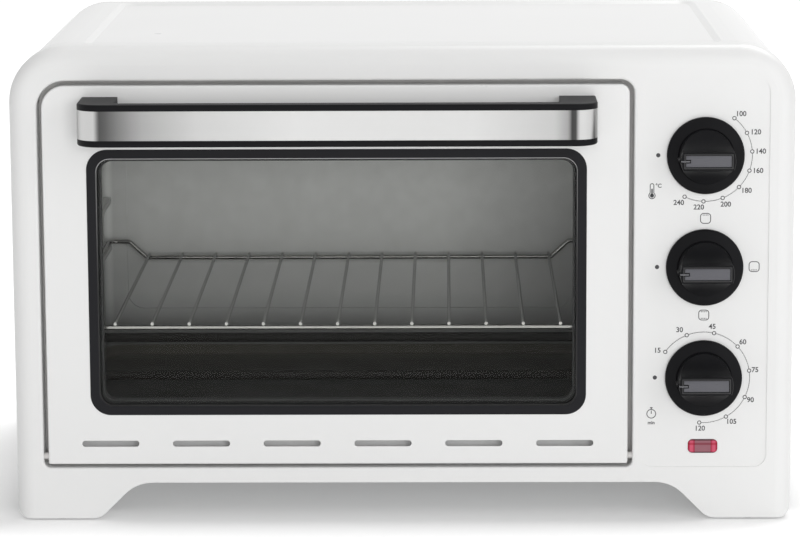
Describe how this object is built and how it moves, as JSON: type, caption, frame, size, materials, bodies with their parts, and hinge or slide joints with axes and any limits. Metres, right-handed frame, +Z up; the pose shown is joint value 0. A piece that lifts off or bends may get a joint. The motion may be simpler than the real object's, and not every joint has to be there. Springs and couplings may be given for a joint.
{
  "type": "mini oven",
  "caption": "Countertop oven with a drop-down glazed front door, full-width handle, wire rack, heating rods and three rotary controls beside the door.",
  "frame": {"origin": "centre of the overall footprint, on the surface that the feet stand on", "axes": "+X to the right seen from the front, +Y to the back, +Z up; the door faces -Y"},
  "size_m": [0.476, 0.352, 0.2916],
  "materials": {
    "white_plastic": "moulded, satin gloss, warm white",
    "white_enamel": "smooth white stove enamel on sheet steel",
    "black_plastic": "moulded phenolic, fine satin",
    "black_enamel": "black enamel",
    "window_glass": "clear tempered pane",
    "brushed_strip": "brushed lengthways",
    "bright_wire": "bright plating",
    "cavity_sheet": "dark grey heat-proof coating on steel",
    "plated_sheet": "zinc-plated sheet",
    "spring_steel": "bright drawn wire and bar",
    "rod_steel": "oxidised steel sheath",
    "ceramic": "unglazed",
    "foot_plastic": "moulded",
    "pad_rubber": "matt",
    "lens_red": "clear red moulding",
    "switch_moulding": "heat-proof moulding"
  },
  "bodies": {
    "chassis": {"front_frame": "white_plastic", "outer_shell": "white_enamel", "timer_bell": "bright_wire", "cavity_left_wall": "cavity_sheet", "cavity_right_wall": "cavity_sheet", "cavity_roof": "cavity_sheet", "cavity_floor": "cavity_sheet", "cavity_back": "cavity_sheet", "back_panel": "plated_sheet", "base_plate": "plated_sheet", "mouth_frame": "plated_sheet", "heat_shield": "plated_sheet", "control_bracket": "plated_sheet", "door_spring_left": "spring_steel", "door_spring_right": "spring_steel", "back_screws": "spring_steel", "base_screws": "spring_steel", "heating_rod_lower_front": "rod_steel", "heating_rod_lower_rear": "rod_steel", "heating_rod_upper_front": "rod_steel", "heating_rod_upper_rear": "rod_steel", "rod_insulators_left": "ceramic", "rod_insulators_right": "ceramic", "rear_foot_left": "foot_plastic", "rear_foot_right": "foot_plastic", "rear_spacer_left": "foot_plastic", "rear_spacer_right": "foot_plastic", "foot_pad_front_left": "pad_rubber", "foot_pad_front_right": "pad_rubber", "foot_pad_rear_left": "pad_rubber", "foot_pad_rear_right": "pad_rubber", "cable_gland": "pad_rubber", "pilot_lens": "lens_red", "thermostat": "switch_moulding", "function_selector": "switch_moulding", "timer": "switch_moulding", "pilot_lamp": "switch_moulding", "terminal_block": "switch_moulding"},
    "door": {"door_panel": "white_enamel", "window_trim": "black_enamel", "glass_pane": "window_glass", "door_inner_panel": "plated_sheet", "handle_body": "black_plastic", "handle_strip": "brushed_strip", "handle_screws": "spring_steel", "hinge_pin_left": "bright_wire", "hinge_pin_right": "bright_wire", "door_arm_left": "plated_sheet", "door_arm_right": "plated_sheet"},
    "rack": {"wire_rack": "bright_wire"},
    "temperature_control": {"knob_temperature": "black_plastic", "shaft_temperature": "spring_steel"},
    "function_control": {"knob_function": "black_plastic", "shaft_function": "spring_steel"},
    "timer_control": {"knob_timer": "black_plastic", "shaft_timer": "spring_steel"}
  },
  "joints": [
    {"name": "door_hinge", "type": "hinge", "parent": "chassis", "child": "door", "pos_m": [0, -0.1315, 0.0396], "axis": [1, 0, 0], "range_deg": [0, 87], "stiffness_Nm_per_rad": 0.5, "springref_deg": -20.05, "deforming": ["door_spring_left", "door_spring_right"]},
    {"name": "rack_slide", "type": "slide", "parent": "chassis", "child": "rack", "axis": [0, -1, 0], "range_m": [0, 0.107]},
    {"name": "temperature_turn", "type": "hinge", "parent": "chassis", "child": "temperature_control", "pos_m": [0.1831, -0.136, 0.2254], "axis": [0, 1, 0], "range_deg": [0, 296]},
    {"name": "function_turn", "type": "hinge", "parent": "chassis", "child": "function_control", "pos_m": [0.1831, -0.136, 0.157], "axis": [0, 1, 0], "range_deg": [0, 270]},
    {"name": "timer_turn", "type": "hinge", "parent": "chassis", "child": "timer_control", "pos_m": [0.1831, -0.136, 0.0886], "axis": [0, 1, 0], "range_deg": [0, 274]}
  ],
  "couplings": [
    {"joint": "rack_slide", "follows": "door_hinge", "m_per_rad": 0.07}
  ]
}
